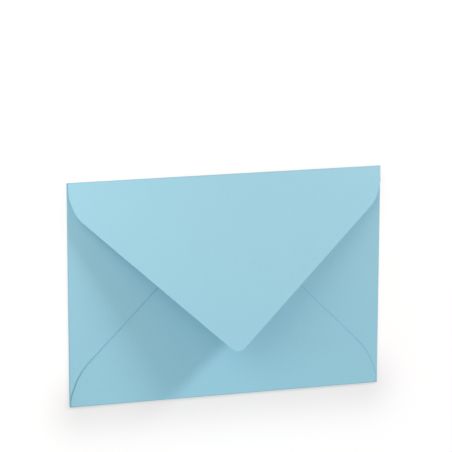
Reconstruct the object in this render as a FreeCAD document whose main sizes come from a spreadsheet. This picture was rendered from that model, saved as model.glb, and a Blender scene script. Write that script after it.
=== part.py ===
import FreeCAD, Part
import Sketcher
import math
import os

# Paper envelope folded from one sheet. It lies on its front panel, with the closing flap lifted off the back.
# X runs along the long side, Y from the bottom fold to the top fold, Z up through the thickness.
# The origin is the middle of the front panel's outer face. Lengths in millimetres, angles in degrees.

# Sizes that can be set one by one. A flap's depth, straight height and shoulder height count from the line
# where its fold ends. Up to its straight height it is as wide as its fold, and from there its sides taper in.
drivingSizes = {
    "envelopeWidth": "162",
    "envelopeHeight": "114",
    "paperThickness": "0.15",
    "pocketRoom": "0.6",
    "foldEndGap": "0.1",
    "sideFlapEndGap": "0.3",
    "closingLift": "14.5",
    "closingDepth": "87.45",
    "closingStraight": "6.9",
    "closingShoulder": "16.5",
    "closingTaper": "16.8",
    "closingShoulderRadius": "18.6",
    "closingTipRadius": "4.95",
    "bottomDepth": "77.8",
    "bottomStraight": "3.6",
    "bottomShoulder": "17.1",
    "bottomTaper": "19.3",
    "bottomShoulderRadius": "31.7",
    "bottomTipRadius": "38",
    "sideTipInset": "14",
    "sideTipRadius": "6",
}

# A fold wraps round what lies between its two leaves, so its radius follows from the layers that it closes over.
# The side folds run on past the front panel into the corners, and the end folds stop just inside the side folds.
foldSizes = {
    "sideFoldRadius": "=paperThickness + pocketRoom / 2",
    "endFoldRadius": "=1.5 * paperThickness + pocketRoom / 2",
    "panelHalfWidth": "=envelopeWidth / 2 - sideFoldRadius",
    "panelHalfHeight": "=envelopeHeight / 2 - endFoldRadius",
    "endFoldHalfLength": "=panelHalfWidth - foldEndGap",
    "sideFoldHalfLength": "=envelopeHeight / 2 - foldEndGap",
    "sideFlapHalfLength": "=panelHalfHeight - sideFlapEndGap",
    "sideFlapLevel": "=paperThickness + pocketRoom",
    "bottomFlapLevel": "=sideFlapLevel + paperThickness",
    "closingStartY": "=panelHalfHeight + endFoldRadius * sin(closingLift * 1deg)",
    "closingStartZ": "=endFoldRadius * (1 + cos(closingLift * 1deg))",
}

# The sloping edge of a flap runs from the corner at its shoulder to touch the round tip.
# The shoulder arc stays short enough to leave a part of the tapered side below it straight.
flapSizes = {
    "{0}TaperHeight": "={0}Shoulder - {0}Straight",
    "{0}CornerX": "=endFoldHalfLength - {0}TaperHeight * tan({0}Taper * 1deg)",
    "{0}TipCentre": "={0}Depth - {0}TipRadius",
    "{0}Rise": "={0}TipCentre - {0}Shoulder",
    "{0}EdgeAngle": "=(atan({0}Rise / {0}CornerX) + asin({0}TipRadius / hypot({0}Rise; {0}CornerX))) / 1deg",
    "{0}ShoulderTurn": "=90 - {0}EdgeAngle - {0}Taper",
    "{0}LongestArc": "=0.95 * {0}TaperHeight / cos({0}Taper * 1deg) / tan({0}ShoulderTurn / 2 * 1deg)",
    "{0}ShoulderArc": "=min({0}ShoulderRadius; {0}LongestArc)",
}

document = FreeCAD.newDocument("envelope")
sheet = document.addObject("Spreadsheet::Sheet", "Sizes")


def fillSheet():
    cells = dict(drivingSizes)
    cells.update(foldSizes)
    for flap in ("closing", "bottom"):
        for alias, formula in flapSizes.items():
            cells[alias.format(flap)] = formula.format(flap)
    for row, (alias, content) in enumerate(cells.items(), start=1):
        sheet.set("A%d" % row, alias)
        sheet.set("B%d" % row, content)
        sheet.setAlias("B%d" % row, alias)
    document.recompute()


def size(formula):
    value = sheet.evalExpression(formula)
    return getattr(value, "Value", value)


def point(x, y):
    return FreeCAD.Vector(x, y, 0)


def pointOnCircle(centre, radius, angle):
    return centre + point(radius * math.cos(angle), radius * math.sin(angle))


def line(start, end):
    return Part.LineSegment(start, end)


def arc(centre, radius, start, end):
    return Part.ArcOfCircle(Part.Circle(centre, FreeCAD.Vector(0, 0, 1), radius), start, end)


def newSketch(body, name, role):
    sketch = body.newObject("Sketcher::SketchObject", name)
    plane = [feature for feature in body.Origin.OriginFeatures if feature.Role == role][0]
    sketch.AttachmentSupport = [(plane, "")]
    sketch.MapMode = "FlatFace"
    return sketch


def join(sketch, kind, *ends):
    sketch.addConstraint(Sketcher.Constraint(kind, *ends))


def dimension(sketch, name, formula, kind, *ends):
    # One dimension of a sketch, held by the sheet
    value = size(formula)
    if kind == "Angle":
        value = math.radians(value)
    index = sketch.addConstraint(Sketcher.Constraint(kind, *ends, value))
    sketch.renameConstraint(index, name)
    sketch.setExpression("Constraints." + name, formula)


def newPad(body, name, sketch, formula, side="One side"):
    pad = body.newObject("PartDesign::Pad", name)
    pad.Profile = sketch
    pad.SideType = side
    pad.setExpression("Length", formula)
    sketch.Visibility = False
    document.recompute()
    return pad


def frontPanel(body):
    # A rectangle that ends where the four folds begin
    sketch = newSketch(body, "FrontPanelOutline", "XY_Plane")
    right, top = size("Sizes.panelHalfWidth"), size("Sizes.panelHalfHeight")
    corners = [point(-right, -top), point(right, -top), point(right, top), point(-right, top)]
    for number, corner in enumerate(corners):
        sketch.addGeometry(line(corner, corners[(number + 1) % 4]))
    for number, kind in enumerate(("Horizontal", "Vertical", "Horizontal", "Vertical")):
        join(sketch, "Coincident", number, 2, (number + 1) % 4, 1)
        join(sketch, kind, number)
    dimension(sketch, "right", "Sizes.panelHalfWidth", "DistanceX", -1, 1, 1, 1)
    dimension(sketch, "left", "Sizes.panelHalfWidth", "DistanceX", 3, 1, -1, 1)
    dimension(sketch, "top", "Sizes.panelHalfHeight", "DistanceY", -1, 1, 2, 1)
    dimension(sketch, "bottom", "Sizes.panelHalfHeight", "DistanceY", 0, 1, -1, 1)
    return newPad(body, "FrontPanel", sketch, "Sizes.paperThickness")


def fold(body, name, role, outward, edge, radius, halfLength, lift="0"):
    # Section of a fold: the sheet leaves the front panel at the bottom of a circle and turns up and back over it.
    # outward is 1 where the fold bulges along the sketch's first axis and -1 where it bulges against it.
    # lift is the angle that the folded leaf keeps above the panel.
    sketch = newSketch(body, name + "Section", role)
    outerRadius = size(radius)
    innerRadius = outerRadius - size("Sizes.paperThickness")
    centre = point(outward * size(edge), outerRadius)
    panelEnd = -math.pi / 2
    leafEnd = panelEnd + outward * math.radians(180 - size(lift))
    start, end = sorted((panelEnd, leafEnd))
    outer = sketch.addGeometry(arc(centre, outerRadius, start, end))
    inner = sketch.addGeometry(arc(centre, innerRadius, start, end))
    caps = []
    for angle, arcEnd in ((start, 1), (end, 2)):
        capEnds = pointOnCircle(centre, innerRadius, angle), pointOnCircle(centre, outerRadius, angle)
        cap = sketch.addGeometry(line(*capEnds))
        join(sketch, "Coincident", cap, 1, inner, arcEnd)
        join(sketch, "Coincident", cap, 2, outer, arcEnd)
        join(sketch, "PointOnObject", outer, 3, cap)
        caps.append(cap)
    panelCap, leafCap = caps[::outward]
    join(sketch, "Coincident", outer, 3, inner, 3)
    join(sketch, "Vertical", panelCap)
    if lift == "0":
        join(sketch, "Vertical", leafCap)
    else:
        dimension(sketch, "leafAngle", "90 - " + lift, "Angle", leafCap)
    fromOrigin = (-1, 1, outer, 3) if outward > 0 else (outer, 3, -1, 1)
    dimension(sketch, "edge", edge, "DistanceX", *fromOrigin)
    dimension(sketch, "height", radius, "DistanceY", -1, 1, outer, 3)
    dimension(sketch, "radius", radius, "Radius", outer)
    dimension(sketch, "thickness", "Sizes.paperThickness", "Distance", panelCap)
    return newPad(body, name, sketch, "2 * " + halfLength, side="Symmetric")


def sideFlap(body):
    # It starts along the side fold. Its lower edge runs under the bottom flap, parallel to that flap's edge,
    # and its upper edge slopes from the top corner down to a round tip near the middle.
    sketch = newSketch(body, "SideFlapOutline", "XY_Plane")
    sketch.setExpression("AttachmentOffset.Base.z", "Sizes.sideFlapLevel")
    foldX, foldEndY = size("Sizes.panelHalfWidth"), size("Sizes.sideFlapHalfLength")
    slope = math.radians(size("Sizes.bottomEdgeAngle"))
    tipRadius = size("Sizes.sideTipRadius")
    tipX = size("Sizes.sideTipInset") + tipRadius
    tipY = (tipRadius + (foldX - tipX) * math.sin(slope)) / math.cos(slope) - foldEndY
    top, bottom, tip = point(foldX, foldEndY), point(foldX, -foldEndY), point(tipX, tipY)
    towardsTop = top - tip
    upperAngle = math.atan2(towardsTop.y, towardsTop.x) + math.acos(tipRadius / towardsTop.Length)
    lowerAngle = 3 * math.pi / 2 - slope
    upperTouch = pointOnCircle(tip, tipRadius, upperAngle)
    lowerTouch = pointOnCircle(tip, tipRadius, lowerAngle)
    foldLine = sketch.addGeometry(line(bottom, top))
    upperEdge = sketch.addGeometry(line(top, upperTouch))
    tipArc = sketch.addGeometry(arc(tip, tipRadius, upperAngle, lowerAngle))
    lowerEdge = sketch.addGeometry(line(bottom, lowerTouch))
    join(sketch, "Vertical", foldLine)
    join(sketch, "Coincident", foldLine, 2, upperEdge, 1)
    join(sketch, "Coincident", foldLine, 1, lowerEdge, 1)
    join(sketch, "Tangent", upperEdge, 2, tipArc, 1)
    join(sketch, "Tangent", lowerEdge, 2, tipArc, 2)
    dimension(sketch, "foldX", "Sizes.panelHalfWidth", "DistanceX", -1, 1, foldLine, 1)
    dimension(sketch, "above", "Sizes.sideFlapHalfLength", "DistanceY", -1, 1, foldLine, 2)
    dimension(sketch, "below", "Sizes.sideFlapHalfLength", "DistanceY", foldLine, 1, -1, 1)
    dimension(sketch, "slope", "180 - Sizes.bottomEdgeAngle", "Angle", lowerEdge)
    dimension(sketch, "tipRadius", "Sizes.sideTipRadius", "Radius", tipArc)
    dimension(sketch, "tipX", "Sizes.sideTipInset + Sizes.sideTipRadius", "DistanceX", -1, 1, tipArc, 3)
    return newPad(body, "SideFlap", sketch, "Sizes.paperThickness")


def otherSide(body, features):
    # The left side fold and flap mirror the right ones
    mirror = body.newObject("PartDesign::Mirrored", "OtherSide")
    mirror.Originals = features
    plane = [feature for feature in body.Origin.OriginFeatures if feature.Role == "YZ_Plane"][0]
    mirror.MirrorPlane = (plane, [""])
    body.Tip = mirror
    document.recompute()


def longFlapOutline(body, flap):
    # Outline of a flap on an end fold, drawn upwards from the line where the fold ends
    sketch = newSketch(body, flap + "FlapOutline", "XY_Plane")
    half, straight = size("Sizes.endFoldHalfLength"), size("Sizes.%sStraight" % flap)
    taper = math.radians(size("Sizes.%sTaper" % flap))
    slope = math.radians(size("Sizes.%sEdgeAngle" % flap))
    shoulderRadius = size("Sizes.%sShoulderArc" % flap)
    tipRadius = size("Sizes.%sTipRadius" % flap)
    shoulderReach = shoulderRadius / (1 + math.sin(slope + taper))
    tip = point(0, size("Sizes.%sTipCentre" % flap))
    tipArc = sketch.addGeometry(arc(tip, tipRadius, math.pi / 2 - slope, math.pi / 2 + slope))
    foldLine = sketch.addGeometry(line(point(-half, 0), point(half, 0)))
    shoulders, straightSides = [], []
    for side in (1, -1):
        corner = point(side * size("Sizes.%sCornerX" % flap), size("Sizes.%sShoulder" % flap))
        inward = point(-side * (math.cos(taper) + math.sin(slope)), -math.sin(taper) - math.cos(slope))
        centre = corner + inward * shoulderReach
        sideAngle = math.pi / 2 - side * (math.pi / 2 - taper)
        edgeAngle = math.pi / 2 - side * slope
        low = pointOnCircle(centre, shoulderRadius, sideAngle)
        high = pointOnCircle(centre, shoulderRadius, edgeAngle)
        taperStart = point(side * half, straight)
        straightSide = sketch.addGeometry(line(point(side * half, 0), taperStart))
        taperedSide = sketch.addGeometry(line(taperStart, low))
        shoulder = sketch.addGeometry(arc(centre, shoulderRadius, *sorted((sideAngle, edgeAngle))))
        slopingEdge = sketch.addGeometry(line(high, pointOnCircle(tip, tipRadius, edgeAngle)))
        shoulderLow, shoulderHigh = (1, 2)[::side]
        foldEnd, tipEnd = (2, 1)[::side]
        join(sketch, "Coincident", foldLine, foldEnd, straightSide, 1)
        join(sketch, "Vertical", straightSide)
        join(sketch, "Coincident", straightSide, 2, taperedSide, 1)
        join(sketch, "Tangent", taperedSide, 2, shoulder, shoulderLow)
        join(sketch, "Tangent", shoulder, shoulderHigh, slopingEdge, 1)
        join(sketch, "Tangent", slopingEdge, 2, tipArc, tipEnd)
        name = "right" if side > 0 else "left"
        taperSign, slopeFormula = ("+", "180 - ") if side > 0 else ("-", "")
        dimension(sketch, name + "Taper", "90 %s Sizes.%sTaper" % (taperSign, flap), "Angle", taperedSide)
        dimension(sketch, name + "Slope", "%sSizes.%sEdgeAngle" % (slopeFormula, flap), "Angle", slopingEdge)
        shoulders.append(shoulder)
        straightSides.append(straightSide)
    join(sketch, "Horizontal", foldLine)
    join(sketch, "PointOnObject", foldLine, 1, -1)
    join(sketch, "PointOnObject", tipArc, 3, -2)
    join(sketch, "Equal", *shoulders)
    join(sketch, "Equal", *straightSides)
    rightSide = straightSides[0]
    dimension(sketch, "straight", "Sizes.%sStraight" % flap, "DistanceY", rightSide, 1, rightSide, 2)
    dimension(sketch, "foldRight", "Sizes.endFoldHalfLength", "DistanceX", -1, 1, foldLine, 2)
    dimension(sketch, "foldLeft", "Sizes.endFoldHalfLength", "DistanceX", foldLine, 1, -1, 1)
    dimension(sketch, "shoulderRadius", "Sizes.%sShoulderArc" % flap, "Radius", shoulders[0])
    dimension(sketch, "tipRadius", "Sizes.%sTipRadius" % flap, "Radius", tipArc)
    dimension(sketch, "tipCentre", "Sizes.%sTipCentre" % flap, "DistanceY", -1, 1, tipArc, 3)
    return sketch


def bottomFlap(body):
    # It lies on the two side flaps and is glued to them face to face
    sketch = longFlapOutline(body, "bottom")
    sketch.setExpression("AttachmentOffset.Base.y", "-Sizes.panelHalfHeight")
    sketch.setExpression("AttachmentOffset.Base.z", "Sizes.bottomFlapLevel")
    return newPad(body, "BottomFlap", sketch, "Sizes.paperThickness")


def closingFlap(body):
    # Its sketch lies on its outer face, so the thickness goes in towards the pocket
    sketch = longFlapOutline(body, "closing")
    sketch.AttachmentOffset = FreeCAD.Placement(point(0, 0), FreeCAD.Rotation(FreeCAD.Vector(1, 0, 0), 180))
    sketch.setExpression("AttachmentOffset.Rotation.Angle", "180 - Sizes.closingLift")
    sketch.setExpression("AttachmentOffset.Base.y", "Sizes.closingStartY")
    sketch.setExpression("AttachmentOffset.Base.z", "Sizes.closingStartZ")
    return newPad(body, "ClosingFlap", sketch, "Sizes.paperThickness")


def buildEnvelope():
    body = document.addObject("PartDesign::Body", "Envelope")
    body.Label = "envelope"
    panelX, panelY = "Sizes.panelHalfWidth", "Sizes.panelHalfHeight"
    sideRadius, endRadius = "Sizes.sideFoldRadius", "Sizes.endFoldRadius"
    sideLength, endLength = "Sizes.sideFoldHalfLength", "Sizes.endFoldHalfLength"
    frontPanel(body)
    sideFold = fold(body, "SideFold", "XZ_Plane", 1, panelX, sideRadius, sideLength)
    otherSide(body, [sideFold, sideFlap(body)])
    fold(body, "BottomFold", "YZ_Plane", -1, panelY, endRadius, endLength)
    bottomFlap(body)
    fold(body, "TopFold", "YZ_Plane", 1, panelY, endRadius, endLength, lift="Sizes.closingLift")
    closingFlap(body)
    return body


def checkModel(body):
    for item in document.Objects:
        if "Invalid" in item.State or "Error" in item.State:
            raise RuntimeError("%s did not build" % item.Label)
        if item.isDerivedFrom("Sketcher::SketchObject") and not item.FullyConstrained:
            raise RuntimeError("%s is not fully constrained" % item.Label)
    if body.Shape.isNull() or not body.Shape.isValid():
        raise RuntimeError("%s has no valid shape" % body.Label)
    if len(body.Shape.Solids) != 1:
        raise RuntimeError("%s is not one sheet" % body.Label)


fillSheet()
envelope = buildEnvelope()
document.recompute()
checkModel(envelope)
os.makedirs("parts", exist_ok=True)
envelope.Shape.exportStep("parts/%s.step" % envelope.Label)
box = envelope.Shape.BoundBox
print("%s: %.1f x %.1f x %.1f mm, %.1f mm3" % (
    envelope.Label, box.XLength, box.YLength, box.ZLength, envelope.Shape.Volume))
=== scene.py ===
from math import acos, asin, atan, atan2, cos, hypot, pi, radians, sin, tan

import bmesh
import bpy
from mathutils import Matrix, Vector


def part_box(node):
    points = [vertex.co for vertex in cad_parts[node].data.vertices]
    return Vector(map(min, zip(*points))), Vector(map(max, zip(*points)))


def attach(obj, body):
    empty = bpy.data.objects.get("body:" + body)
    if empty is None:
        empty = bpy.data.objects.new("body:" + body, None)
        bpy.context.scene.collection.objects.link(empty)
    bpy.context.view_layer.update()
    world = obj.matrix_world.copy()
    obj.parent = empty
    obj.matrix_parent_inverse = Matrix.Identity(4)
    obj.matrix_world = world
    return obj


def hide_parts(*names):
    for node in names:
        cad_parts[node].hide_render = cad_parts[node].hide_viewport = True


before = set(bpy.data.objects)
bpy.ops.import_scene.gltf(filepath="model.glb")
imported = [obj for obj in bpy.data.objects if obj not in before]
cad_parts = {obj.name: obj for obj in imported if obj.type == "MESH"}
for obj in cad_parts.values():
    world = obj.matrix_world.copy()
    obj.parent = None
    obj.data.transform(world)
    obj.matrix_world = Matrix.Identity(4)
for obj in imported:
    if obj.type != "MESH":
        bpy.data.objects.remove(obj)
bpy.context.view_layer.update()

mm = 0.001
lowCorner, highCorner = (Vector(corner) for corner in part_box("envelope"))
print("frame loaded: envelope", [round(side / mm, 1) for side in highCorner - lowCorner], "mm")

# the folded sheet: what is the same for every flap
sheet = {
    "paper": 0.15 * mm,        # thickness
    "pocket": 0.6 * mm,        # room between the front panel and the side flaps
    "glueLine": 0.01 * mm,     # the bottom flap floats this much over the side flaps, so no faces coincide
    "cornerGap": 0.1 * mm,     # the side folds run into the corners, the end folds stop this far inside them
    "sideFlapGap": 0.3 * mm,   # the side flaps start this far from the end folds
    "lift": radians(14.5),     # the closing flap above the back
    "foldSteps": 14,           # facets round a fold
    "arcSteps": 24,            # facets round a shoulder or a tip
    "grid": 3.0 * mm,          # spacing of the cuts across the sheet, so that it can bend
    "sharpEdge": radians(30),  # edges that turn by more than this aren't smoothed
    "touch": 1e-7,             # a cut this near a point goes through it
    "same": 1e-6,              # points this near each other are one
}
closingFlap = {
    "depth": 87.45 * mm, "straight": 6.9 * mm, "shoulder": 16.5 * mm, "taper": radians(16.8),
    "shoulderRadius": 18.6 * mm, "tipRadius": 4.95 * mm,
}
bottomFlap = {
    "depth": 77.8 * mm, "straight": 3.6 * mm, "shoulder": 17.1 * mm, "taper": radians(19.3),
    "shoulderRadius": 31.7 * mm, "tipRadius": 38.0 * mm,
    # the glue stops short of the edge, which stands off a little, more on the left and near the corners
    "leftLift": 0.06 * mm, "rightLift": 0.02 * mm, "seamReach": 2.0 * mm,
    "leftCornerLift": 0.42 * mm, "rightCornerLift": 0.06 * mm, "cornerHeight": 32.0 * mm,
    "cornerHold": 4.0 * mm,  # right at the fold the fold holds it down
    "rimFade": 0.3,          # the painted shadow line at the seam's edge grows weaker with the lift
    "seamCuts": (0.5 * mm, 1.0 * mm, 1.5 * mm, 2.0 * mm),  # cuts along the sloping edge, so that it can lift
}
sideFlap = {"tipInset": 14.0 * mm, "tipRadius": 6.0 * mm}

sideRadius = sheet["paper"] + sheet["pocket"] / 2
endRadius = 1.5 * sheet["paper"] + sheet["pocket"] / 2 + sheet["glueLine"] / 2
panelX = (highCorner.x - lowCorner.x) / 2 - sideRadius
panelY = (highCorner.y - lowCorner.y) / 2 - endRadius
endFoldX = panelX - sheet["cornerGap"]
sideFoldY = (highCorner.y - lowCorner.y) / 2 - sheet["cornerGap"]
sideFlapY = panelY - sheet["sideFlapGap"]


def bendLength(radius, turn):
    return (radius - sheet["paper"] / 2) * turn  # along the middle of the paper's thickness


# each fold: its radius, how far the sheet turns, where it starts on the flat sheet and how much painted shade
# it gets
sideFold = {"radius": sideRadius, "turn": pi, "start": panelX, "paintedFoldShade": 0.70}
bottomFold = {"radius": endRadius, "turn": pi, "start": panelY, "paintedFoldShade": 0.20}
topFold = {"radius": endRadius, "turn": pi - sheet["lift"], "start": panelY, "paintedFoldShade": 0.80}
for fold in (sideFold, bottomFold, topFold):
    fold["end"] = fold["start"] + bendLength(fold["radius"], fold["turn"])


def direction(angle):
    return Vector((cos(angle), sin(angle)))


def markFlap(flap, fold, way):
    # a long flap's slope and arc centres, measured from the line where its fold ends; way is +1 up, -1 down
    rise = flap["depth"] - flap["tipRadius"] - flap["shoulder"]
    cornerX = endFoldX - (flap["shoulder"] - flap["straight"]) * tan(flap["taper"])
    slope = atan(rise / cornerX) + asin(flap["tipRadius"] / hypot(rise, cornerX))
    side, edge = direction(flap["taper"]), direction(pi / 2 - slope)
    reach = flap["shoulderRadius"] / (1 + side.dot(edge))
    flap["slope"] = slope
    flap["tip"] = Vector((0, flap["depth"] - flap["tipRadius"]))
    flap["bend"] = Vector((cornerX, flap["shoulder"])) - reach * (side + edge)
    flap["foldEnd"], flap["way"] = fold["end"], way


markFlap(closingFlap, topFold, 1)
markFlap(bottomFlap, bottomFold, -1)


def insideEdge(flap, x, depth):
    # how far a point of a long flap lies inside its free edge
    side, edge, top = (direction(angle) for angle in (flap["taper"], pi / 2 - flap["slope"], pi / 2))
    spot = Vector((abs(x), depth))
    arcs = ((flap["bend"], flap["shoulderRadius"], side, edge), (flap["tip"], flap["tipRadius"], edge, top))
    for centre, radius, first, last in arcs:
        outward = spot - centre
        if first.cross(outward) > 0 and outward.cross(last) > 0:
            return radius - outward.length
    fromSide = flap["shoulderRadius"] - (spot - flap["bend"]).dot(side)
    fromEdge = flap["tipRadius"] - (spot - flap["tip"]).dot(edge)
    return min(fromSide, fromEdge, endFoldX - abs(x))


# the blank is drawn flat: a vertex walks round its right half, straight or round an arc
def straight(bm, vert, x, y):
    walked = bmesh.ops.extrude_vert_indiv(bm, verts=[vert])["verts"][0]
    walked.co = (x, y, 0)
    return walked


def around(bm, vert, x, y, turn):
    steps = sheet["arcSteps"]
    spun = bmesh.ops.spin(bm, geom=[vert], cent=(x, y, 0), axis=(0, 0, 1), angle=turn, steps=steps)
    return spun["geom_last"][0]


def flatSpot(flap, arc, radius, angle):
    spot = flap[arc] + radius * direction(angle)
    return spot.x, flap["way"] * (flap["foldEnd"] + spot.y)


def drawBottomFlap(bm):
    flap = bottomFlap
    slope, taper = flap["slope"], flap["taper"]
    start = bmesh.ops.create_vert(bm, co=(0, -flap["foldEnd"] - flap["depth"], 0))["vert"][0]
    pen = around(bm, start, *flatSpot(flap, "tip", 0, 0), slope)
    pen = straight(bm, pen, *flatSpot(flap, "bend", flap["shoulderRadius"], pi / 2 - slope))
    pen = around(bm, pen, *flatSpot(flap, "bend", 0, 0), pi / 2 - slope - taper)
    pen = straight(bm, pen, endFoldX, -flap["foldEnd"] - flap["straight"])
    pen = straight(bm, pen, endFoldX, -flap["foldEnd"])
    return start, straight(bm, pen, endFoldX, -panelY)


def drawSideFlap(bm, pen):
    # its lower edge runs parallel to the bottom flap's edge, its upper edge slopes down from the top corner
    slope, radius = bottomFlap["slope"], sideFlap["tipRadius"]
    reach = panelX - sideFlap["tipInset"] - radius
    tipX = sideFold["end"] + reach
    tipY = (radius + reach * sin(slope)) / cos(slope) - sideFlapY
    rise = sideFlapY - tipY
    upperAngle = pi - atan2(rise, reach) - acos(radius / hypot(rise, reach))
    lowerAngle = slope - pi / 2
    foldEnd = sideFold["end"]
    for x, y in ((panelX, -panelY), (panelX, -sideFoldY), (foldEnd, -sideFoldY), (foldEnd, -sideFlapY)):
        pen = straight(bm, pen, x, y)
    pen = straight(bm, pen, tipX + radius * cos(lowerAngle), tipY + radius * sin(lowerAngle))
    pen = around(bm, pen, tipX, tipY, upperAngle - lowerAngle)
    for x, y in ((foldEnd, sideFlapY), (foldEnd, sideFoldY), (panelX, sideFoldY), (panelX, panelY)):
        pen = straight(bm, pen, x, y)
    return pen


def drawClosingFlap(bm, pen):
    flap = closingFlap
    slope, taper = flap["slope"], flap["taper"]
    pen = straight(bm, pen, endFoldX, panelY)
    pen = straight(bm, pen, endFoldX, flap["foldEnd"])
    pen = straight(bm, pen, endFoldX, flap["foldEnd"] + flap["straight"])
    pen = straight(bm, pen, *flatSpot(flap, "bend", flap["shoulderRadius"], taper))
    pen = around(bm, pen, *flatSpot(flap, "bend", 0, 0), pi / 2 - slope - taper)
    pen = straight(bm, pen, *flatSpot(flap, "tip", flap["tipRadius"], pi / 2 - slope))
    return around(bm, pen, *flatSpot(flap, "tip", 0, 0), slope)


def cutAcross(bm, x, y, normal):
    geom = bm.verts[:] + bm.edges[:] + bm.faces[:]
    bmesh.ops.bisect_plane(bm, geom=geom, dist=sheet["touch"], plane_co=(x, y, 0), plane_no=normal)


def cutSheet(bm):
    # creases first, then an even grid, then cuts along the bottom flap's sloping edge
    steps = sheet["foldSteps"]
    for fold, way, axis in ((sideFold, 1, 0), (bottomFold, -1, 1), (topFold, 1, 1)):
        normal = (0, 1, 0) if axis else (1, 0, 0)
        for step in range(steps + 1):
            at = way * (fold["start"] + (fold["end"] - fold["start"]) * step / steps)
            cutAcross(bm, at, at, normal)
    for axis, normal in enumerate(((1, 0, 0), (0, 1, 0))):
        farthest = max(abs(vert.co[axis]) for vert in bm.verts)
        for step in range(1, int(farthest / sheet["grid"]) + 1):
            at = step * sheet["grid"]
            cutAcross(bm, at, at, normal)
            if axis:
                cutAcross(bm, -at, -at, normal)
    edge = Vector((sin(bottomFlap["slope"]), -cos(bottomFlap["slope"]), 0))
    for inset in bottomFlap["seamCuts"]:
        x, y = flatSpot(bottomFlap, "tip", bottomFlap["tipRadius"] - inset, pi / 2 - bottomFlap["slope"])
        flapFaces = [face for face in bm.faces if face.calc_center_median().y < -bottomFold["end"]]
        nearby = {part for face in flapFaces for part in (face, *face.edges, *face.verts)}
        bmesh.ops.bisect_plane(bm, geom=list(nearby), dist=sheet["touch"], plane_co=(x, y, 0), plane_no=edge)


def wrap(distance, fold):
    # past a fold's start a point follows the circle, then goes on straight: how far out, how far up, how much
    # painted shade
    share = min((distance - fold["start"]) / (fold["end"] - fold["start"]), 1)
    angle = fold["turn"] * share
    beyond = max(distance - fold["end"], 0)
    outward = fold["radius"] * sin(angle) + beyond * cos(angle)
    upward = fold["radius"] * (1 - cos(angle)) + beyond * sin(angle)
    return fold["start"] + outward, upward, fold["paintedFoldShade"] * sin(pi * share)


def seamLift(x, depth, inside):
    # how far the bottom flap's glued edge stands off the side flaps
    side = "left" if x < 0 else "right"
    loose = max(0, 1 - depth / bottomFlap["cornerHeight"]) * min(1, depth / bottomFlap["cornerHold"])
    height = bottomFlap[side + "Lift"] + bottomFlap[side + "CornerLift"] * loose
    return height * max(0, 1 - inside / bottomFlap["seamReach"]) ** 2


def foldSheet(bm, flat, crease, gum, rim):
    # each point is folded into place, and keeps its flat place and what the paper's material needs to know
    for vert in bm.verts:
        x, y, _ = vert.co
        vert[flat] = (x, y, 1)
        vert[rim] = bottomFlap["seamReach"]
        if abs(x) > panelX:
            outward, vert.co.z, vert[crease] = wrap(abs(x), sideFold)
            vert.co.x = outward if x > 0 else -outward
        elif y > panelY:
            vert.co.y, vert.co.z, vert[crease] = wrap(y, topFold)
            if y > topFold["end"]:
                vert[gum] = min(insideEdge(closingFlap, x, y - topFold["end"]), y - topFold["end"])
        elif y < -panelY:
            outward, vert.co.z, vert[crease] = wrap(-y, bottomFold)
            vert.co.y = -outward
            if -y > bottomFold["end"]:
                inside = insideEdge(bottomFlap, x, -y - bottomFold["end"])
                lift = seamLift(x, -y - bottomFold["end"], inside)
                vert.co.z += lift
                # the painted shadow line along the glued edge fades where the edge lifts
                vert[rim] = min(vert[rim], inside + lift * bottomFlap["rimFade"])


def markCreases(bm, flat):
    # smooth round the folds, sharp at the cut rim and where a fold meets its flat leaves
    def along(edge, axis, line):
        return all(abs(vert[flat][axis] - line) < sheet["same"] for vert in edge.verts)

    lines = [(0, way * at) for way in (1, -1) for at in (sideFold["start"], sideFold["end"])]
    lines += [(1, at) for at in (topFold["start"], topFold["end"], -bottomFold["start"], -bottomFold["end"])]
    for face in bm.faces:
        face.smooth = True
    for edge in bm.edges:
        creased = any(along(edge, axis, line) for axis, line in lines)
        edge.smooth = not creased and edge.calc_face_angle(0) < sheet["sharpEdge"]


def makeSheet():
    bm = bmesh.new()
    start, pen = drawBottomFlap(bm)
    pen = drawSideFlap(bm, pen)
    pen = drawClosingFlap(bm, pen)
    bmesh.ops.contextual_create(bm, geom=[pen, start])
    bmesh.ops.contextual_create(bm, geom=bm.edges[:])
    halfWidth = max(vert.co.x for vert in bm.verts)
    print("blank drawn:", len(bm.verts), "points, half width", round(halfWidth / mm, 1), "mm")
    cutSheet(bm)
    bmesh.ops.mirror(bm, geom=bm.verts[:] + bm.edges[:] + bm.faces[:], axis="X", merge_dist=sheet["same"])
    bmesh.ops.recalc_face_normals(bm, faces=bm.faces[:])
    bm.faces.ensure_lookup_table()
    if bm.faces[0].normal.z > 0:
        bmesh.ops.reverse_faces(bm, faces=bm.faces[:])
    area = sum(face.calc_area() for face in bm.faces)
    print("blank cut:", len(bm.faces), "faces, area", round(area, 4), "m2")
    flat = bm.verts.layers.float_vector.new("flatPlace")  # where each point lies on the flat sheet
    crease = bm.verts.layers.float.new("crease")          # painted shade along a fold: most in its middle, 0 off it
    gum = bm.verts.layers.float.new("gumInset")           # how far inside the closing flap's edge
    rim = bm.verts.layers.float.new("rimInset")           # how far inside the bottom flap's glued edge, plus a share of its lift: where the painted shadow line falls
    foldSheet(bm, flat, crease, gum, rim)
    bm.normal_update()
    outer = set(bm.verts)
    bmesh.ops.solidify(bm, geom=bm.faces[:], thickness=sheet["paper"])
    for vert in bm.verts:
        if vert not in outer:
            vert[flat].z = -1  # the inner face
    bm.normal_update()
    markCreases(bm, flat)
    mesh = bpy.data.meshes.new("foldedSheet")
    bm.to_mesh(mesh)
    bm.free()
    piece = bpy.data.objects.new("foldedSheet", mesh)
    bpy.context.scene.collection.objects.link(piece)
    print("sheet folded:", len(mesh.polygons), "faces")
    return piece


envelope = makeSheet()
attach(envelope, "root")
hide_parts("envelope")


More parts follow.
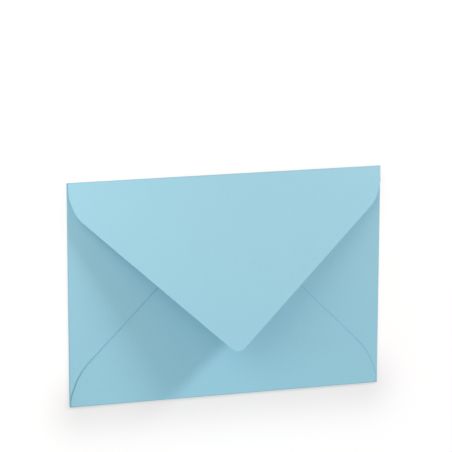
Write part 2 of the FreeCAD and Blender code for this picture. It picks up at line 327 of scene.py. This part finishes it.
class Strand:
    # a socket that takes part in Python arithmetic: an expression on it adds its Math nodes
    def __init__(self, work, socket):
        self.work = work
        self.socket = socket

    def math(self, operation, *others):
        values = {index: other for index, other in enumerate((self, *others))}
        return self.work.node("ShaderNodeMath", {"operation": operation}, values)

    def flipped(self, operation, other):
        return self.work.node("ShaderNodeMath", {"operation": operation}, {0: other, 1: self})

    def clamped(self):
        return self.work.node("ShaderNodeClamp", values={"Value": self})

    def __add__(self, other):
        return self.math("ADD", other)

    def __sub__(self, other):
        return self.math("SUBTRACT", other)

    def __rsub__(self, other):
        return self.flipped("SUBTRACT", other)

    def __mul__(self, other):
        return self.math("MULTIPLY", other)

    def __truediv__(self, other):
        return self.math("DIVIDE", other)

    __radd__ = __add__
    __rmul__ = __mul__


class Work:
    # one material's nodes
    def __init__(self, tree):
        self.tree = tree
        tree.nodes.clear()

    def node(self, kind, settings=None, values=None, out=0):
        made = self.tree.nodes.new(kind)
        for name, value in (settings or {}).items():
            setattr(made, name, value)
        for name, value in (values or {}).items():
            if isinstance(value, Strand):
                self.tree.links.new(value.socket, made.inputs[name])
            else:
                made.inputs[name].default_value = value
        return Strand(self, made.outputs[out]) if made.outputs else made

    def split(self, vector):
        parts = self.node("ShaderNodeSeparateXYZ", values={"Vector": vector}).socket.node.outputs
        return [Strand(self, part) for part in parts]

    def mixColour(self, factor, first, second):
        # 6 and 7 are the node's colour sockets, and 2 is its colour output
        return self.node("ShaderNodeMix", {"data_type": "RGBA"}, {0: factor, 6: first, 7: second}, out=2)


def newMaterial(name):
    material = bpy.data.materials.new(name)
    material.use_nodes = True
    return material, Work(material.node_tree)


paper = {
    # the dye where the fibres lie thin and where they lie thick, and the painted shade along the folds and
    # along the bottom flap's glued edge
    "thin": (0.367, 0.647, 0.757, 1.0),
    "thick": (0.344, 0.609, 0.714, 1.0),
    "paintedShade": (0.196, 0.480, 0.635, 1.0),
    "rimWidth": 0.38 * mm,   # the painted shadow line along the bottom flap's glued edge
    "roughness": 0.85, "shine": 0.25,
    "ribSpacing": 1.54 * mm, "ribAngle": radians(39.0), "ribWander": 3.0,
    "ribHeight": 0.0062, "fibreHeight": 0.042,             # in mm
    "fibreScale": 1200.0, "fibreDetail": 3.0, "cloudScale": 90.0, "cloudDetail": 2.0,
    # how much of each goes into the paper's shading, which turns from thin to thick above the last value
    "fibreShade": 1.6, "cloudShade": 0.3, "ribShade": 0.18, "thinBelow": 0.55,
    "gumStart": 2.5 * mm, "gumWidth": 12.0 * mm, "gumFade": 1.2 * mm, "gumShine": 0.35, "gumShade": 0.5,
}


def paperMaterial():
    material, work = newMaterial("laidPaper")
    place = work.node("ShaderNodeAttribute", {"attribute_name": "flatPlace"}, out=1)
    crease, inset, rim = (
        work.node("ShaderNodeAttribute", {"attribute_name": name}, out=2)
        for name in ("crease", "gumInset", "rimInset"))
    x, y, face = work.split(place)
    fibres, clouds = (
        work.node("ShaderNodeTexNoise", values={
            "Vector": place, "Scale": paper[kind + "Scale"], "Detail": paper[kind + "Detail"]})
        for kind in ("fibre", "cloud"))
    across = x * cos(paper["ribAngle"]) + y * sin(paper["ribAngle"])
    ribs = (across * (2 * pi / paper["ribSpacing"]) + clouds * paper["ribWander"]).math("SINE")
    height = ribs * paper["ribHeight"] + fibres * paper["fibreHeight"]
    relief = work.node("ShaderNodeBump", values={"Strength": 1.0, "Distance": mm, "Height": height})
    # dried gum lies in a band round the inner face of the closing flap
    band = ((inset - paper["gumStart"]) / paper["gumFade"]).clamped()
    band = band - ((inset - (paper["gumStart"] + paper["gumWidth"])) / paper["gumFade"]).clamped()
    gum = band * (face * -1).clamped()
    shading = fibres * paper["fibreShade"] + clouds * paper["cloudShade"] - ribs * paper["ribShade"]
    thickness = shading - paper["thinBelow"]
    colour = work.mixColour(thickness, paper["thin"], paper["thick"])
    colour = work.mixColour(gum * paper["gumShade"], colour, paper["thick"])
    # painted shade along the folds, and a painted shadow line along the bottom flap's glued edge
    paintedShade = crease + (1 - rim / paper["rimWidth"]).clamped()
    colour = work.mixColour(paintedShade, colour, paper["paintedShade"])
    surface = work.node("ShaderNodeBsdfPrincipled", values={
        "Base Color": colour, "Roughness": paper["roughness"] - gum * paper["gumShine"],
        "Normal": relief, "Specular IOR Level": paper["shine"]})
    work.node("ShaderNodeOutputMaterial", values={"Surface": surface})
    return material


envelope.data.materials.append(paperMaterial())
print("paper finished")


studio = {
    "floorSide": 4.0, "floorDrop": 0.02 * mm,   # just clear of the front panel
    "floorColour": (0.50, 0.50, 0.50, 1.0),
    # what the camera sees besides, to make it white: less where the lamps reach, so that the shadow stays
    "glowNear": (0.587, 0.540, 0.528, 1.0), "glowFar": (0.875, 0.898, 0.895, 1.0),
    "glowCentre": (0.008, -0.009), "glowSize": (0.318, 0.600),
    # least of all along the bottom edge, which paints a soft shadow on the floor below it
    "glowShaded": (0.431, 0.391, 0.379, 1.0), "shadeWidth": 146.5 * mm, "shadeReach": 15.7 * mm,
    "ambient": 0.244, "ambientColour": (1.186, 1.0, 1.028, 1.0),
}


def seenDirectly(work):
    # 1 for rays from the camera and for those that gloss or glass sends on
    seen = work.node("ShaderNodeLightPath")
    outputs = seen.socket.node.outputs
    kinds = ("Is Camera Ray", "Is Glossy Ray", "Is Transmission Ray")
    camera, gloss, glass = (Strand(work, outputs[kind]) for kind in kinds)
    return camera.math("MAXIMUM", gloss).math("MAXIMUM", glass)


def bell(first, second):
    # 1 where both are 0, and falling off smoothly as either grows
    return ((first * first + second * second) * -1).math("EXPONENT")


def makeFloor():
    bm = bmesh.new()
    bmesh.ops.create_grid(bm, x_segments=1, y_segments=1, size=studio["floorSide"] / 2)
    bmesh.ops.translate(bm, verts=bm.verts[:], vec=(0, 0, -studio["floorDrop"]))
    mesh = bpy.data.meshes.new("floor")
    bm.to_mesh(mesh)
    bm.free()
    floor = bpy.data.objects.new("floor", mesh)
    bpy.context.scene.collection.objects.link(floor)
    material, work = newMaterial("whiteFloor")
    x, y, _ = work.split(work.node("ShaderNodeTexCoord", out="Object"))
    (centreX, centreY), (sizeX, sizeY) = studio["glowCentre"], studio["glowSize"]
    nearness = bell((x - centreX) / sizeX, (y - centreY) / sizeY)
    glowColour = work.mixColour(nearness, studio["glowFar"], studio["glowNear"])
    # a painted shadow on the floor along the envelope's bottom edge
    beside = (x.math("ABSOLUTE") - studio["shadeWidth"] / 2).math("MAXIMUM", 0)
    shade = bell(beside / studio["shadeReach"], (y - lowCorner.y) / studio["shadeReach"])
    glowColour = work.mixColour(shade, glowColour, studio["glowShaded"])
    matte = work.node("ShaderNodeBsdfDiffuse", values={"Color": studio["floorColour"]})
    glow = work.node("ShaderNodeEmission", values={"Color": glowColour})
    both = work.node("ShaderNodeAddShader", values={0: matte, 1: glow})
    surface = work.node("ShaderNodeMixShader", values={0: seenDirectly(work), 1: matte, 2: both})
    work.node("ShaderNodeOutputMaterial", values={"Surface": surface})
    mesh.materials.append(material)


def makeWorld():
    world = bpy.data.worlds.new("studio")
    world.use_nodes = True
    bpy.context.scene.world = world
    work = Work(world.node_tree)
    soft = work.node("ShaderNodeBackground", values={
        "Color": studio["ambientColour"], "Strength": studio["ambient"]})
    white = work.node("ShaderNodeBackground", values={"Color": (1, 1, 1, 1), "Strength": 1.0})
    either = work.node("ShaderNodeMixShader", values={0: seenDirectly(work), 1: soft, 2: white})
    work.node("ShaderNodeOutputWorld", values={"Surface": either})


# soft lamps: direction and distance from the envelope, size of the disc, power in watts
lamps = {
    "keyLamp": {
        "azimuth": 40.1, "elevation": 26.9, "distance": 0.508, "radius": 0.076, "stretch": 0.59,
        "power": 1.368, "colour": (1.0, 1.0, 0.985)},
    "sideLamp": {
        "azimuth": 146.6, "elevation": 21.1, "distance": 0.290, "radius": 0.230, "stretch": 0.51,
        "power": 0.671, "colour": (0.975, 1.0, 0.965)},
    "fillLamp": {
        "azimuth": -88.4, "elevation": 42.3, "distance": 0.290, "radius": 0.158, "stretch": 0.65,
        "power": 0.308, "colour": (0.592, 1.0, 1.082)},
}


def makeLamp(name, lamp):
    azimuth, elevation = radians(lamp["azimuth"]), radians(lamp["elevation"])
    towards = Vector((cos(elevation) * cos(azimuth), cos(elevation) * sin(azimuth), sin(elevation)))
    level = Vector((-sin(azimuth), cos(azimuth), 0))
    light = bpy.data.lights.new(name, "AREA")
    light.shape = "ELLIPSE"
    light.size, light.size_y = 2 * lamp["radius"] * lamp["stretch"], 2 * lamp["radius"]
    light.energy, light.color = lamp["power"], lamp["colour"]
    lampObject = bpy.data.objects.new(name, light)
    axes = Matrix((level, towards.cross(level), towards)).transposed().to_4x4()
    lampObject.matrix_world = Matrix.Translation(towards * lamp["distance"]) @ axes
    lampObject.visible_camera = False
    bpy.context.scene.collection.objects.link(lampObject)


# the camera looks down on the envelope from its left and from above its top fold
view = {
    "place": Vector((-308.70, 285.73, 1066.79)) * mm,
    "right": Vector((0.96070, 0.00161, 0.27759)), "up": Vector((0.06067, 0.97459, -0.21562)),
    "lens": 182.01, "sensor": 36.0, "clip": (0.05, 20.0),
}


def makeCamera():
    data = bpy.data.cameras.new("camera")
    data.lens, data.sensor_width = view["lens"], view["sensor"]
    data.clip_start, data.clip_end = view["clip"]
    camera = bpy.data.objects.new("camera", data)
    axes = Matrix((view["right"], view["up"], view["right"].cross(view["up"]))).transposed().to_4x4()
    camera.matrix_world = Matrix.Translation(view["place"]) @ axes
    bpy.context.scene.collection.objects.link(camera)
    bpy.context.scene.camera = camera


makeFloor()
makeWorld()
for name, lamp in lamps.items():
    makeLamp(name, lamp)
makeCamera()
bpy.context.scene.view_settings.view_transform = "Standard"
print("studio lit")
